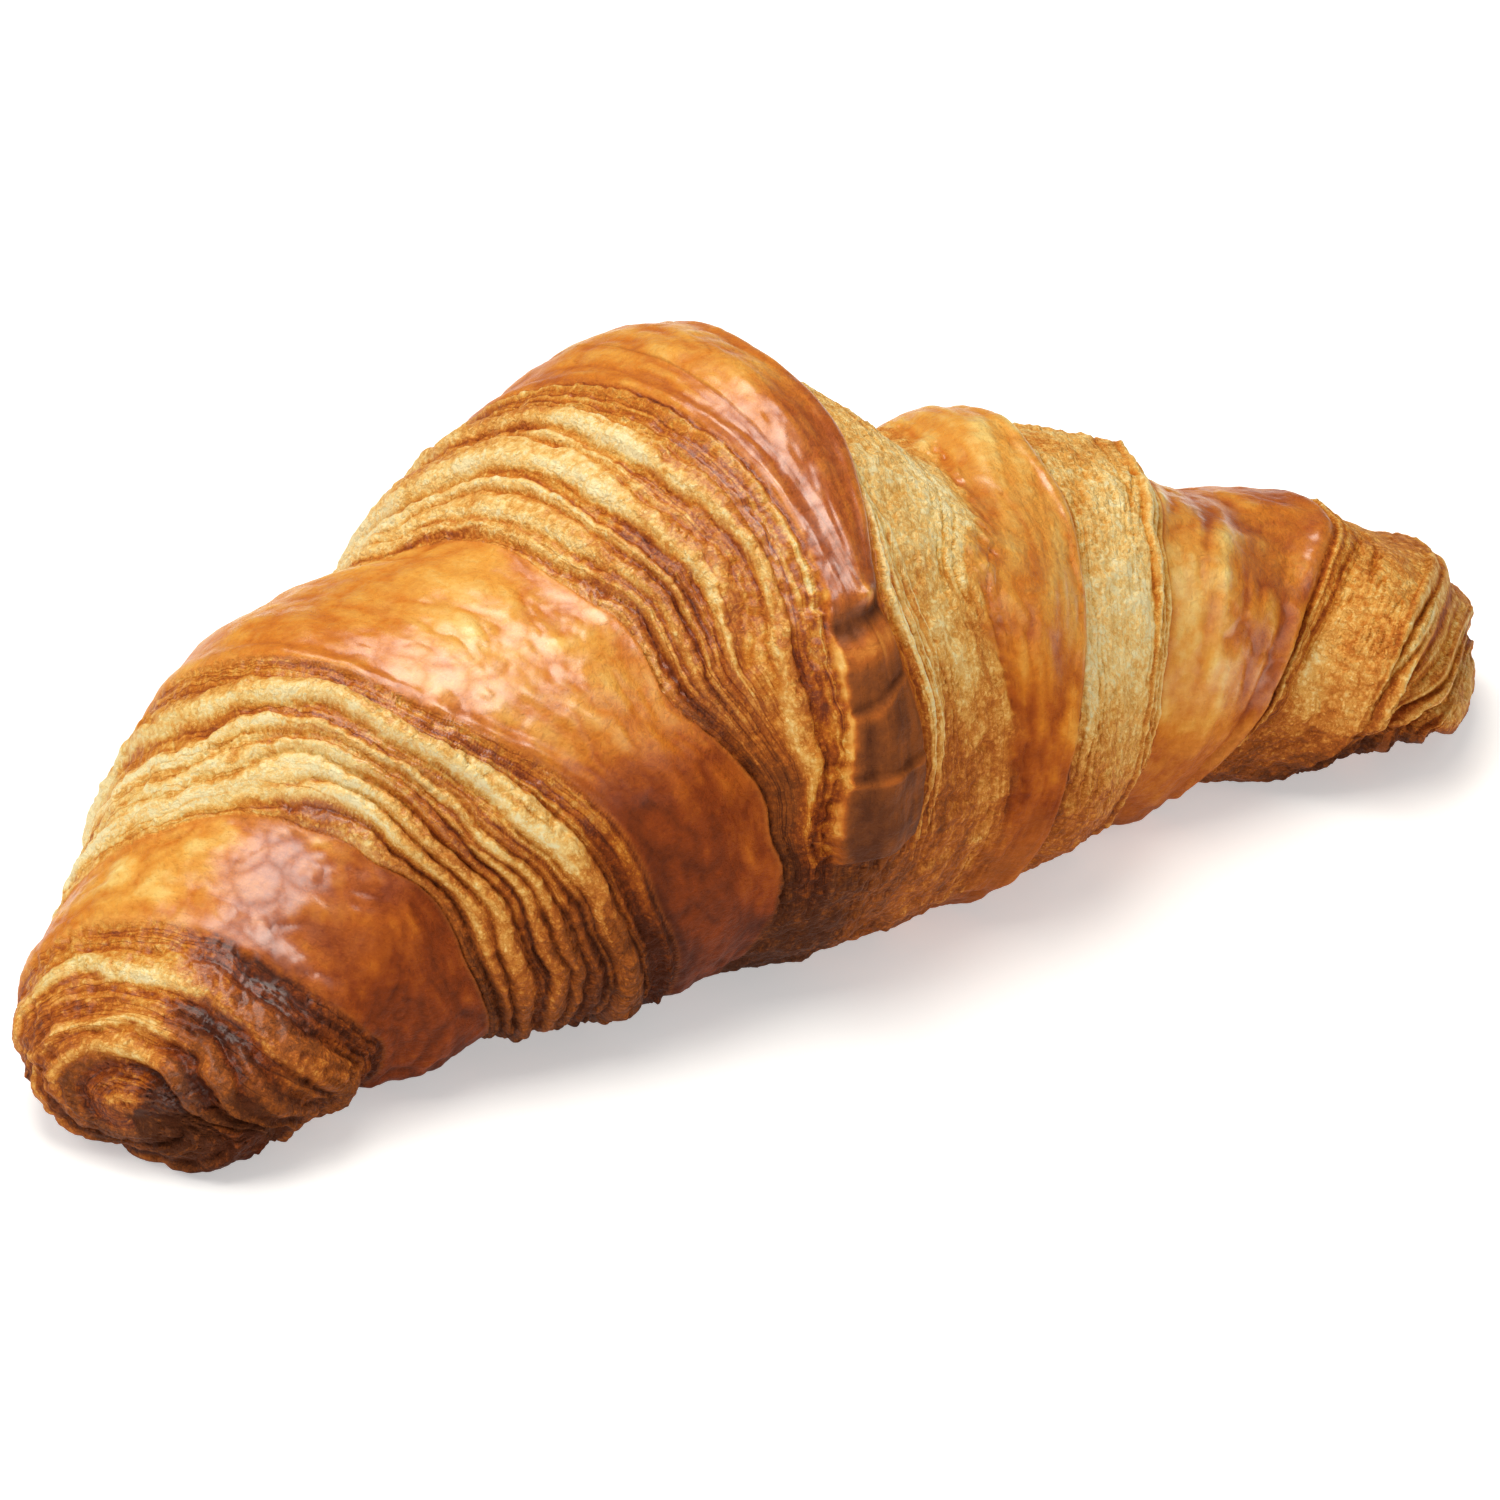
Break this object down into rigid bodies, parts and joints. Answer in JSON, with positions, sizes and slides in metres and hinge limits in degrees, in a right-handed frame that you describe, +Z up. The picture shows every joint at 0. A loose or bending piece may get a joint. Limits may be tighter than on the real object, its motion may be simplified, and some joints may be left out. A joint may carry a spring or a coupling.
{
  "type": "croissant",
  "caption": "Baked butter croissant, a rolled and gently curved pastry with stepped flaky turns and a glazed golden-brown crust, lying on its flat underside.",
  "frame": {"origin": "on the surface it rests on, under the middle of its bounding box", "axes": "+X along the roll from the thick end to the thin end, -Y the front where the tongue of the last turn comes down, +Z up"},
  "size_m": [0.1656, 0.0682, 0.0569],
  "materials": {
    "crust": "baked golden-brown crust, egg-glazed and satin on the bare bands, dry and pale along the cut layers"
  },
  "bodies": {
    "root": {"croissant": "crust"}
  },
  "joints": []
}
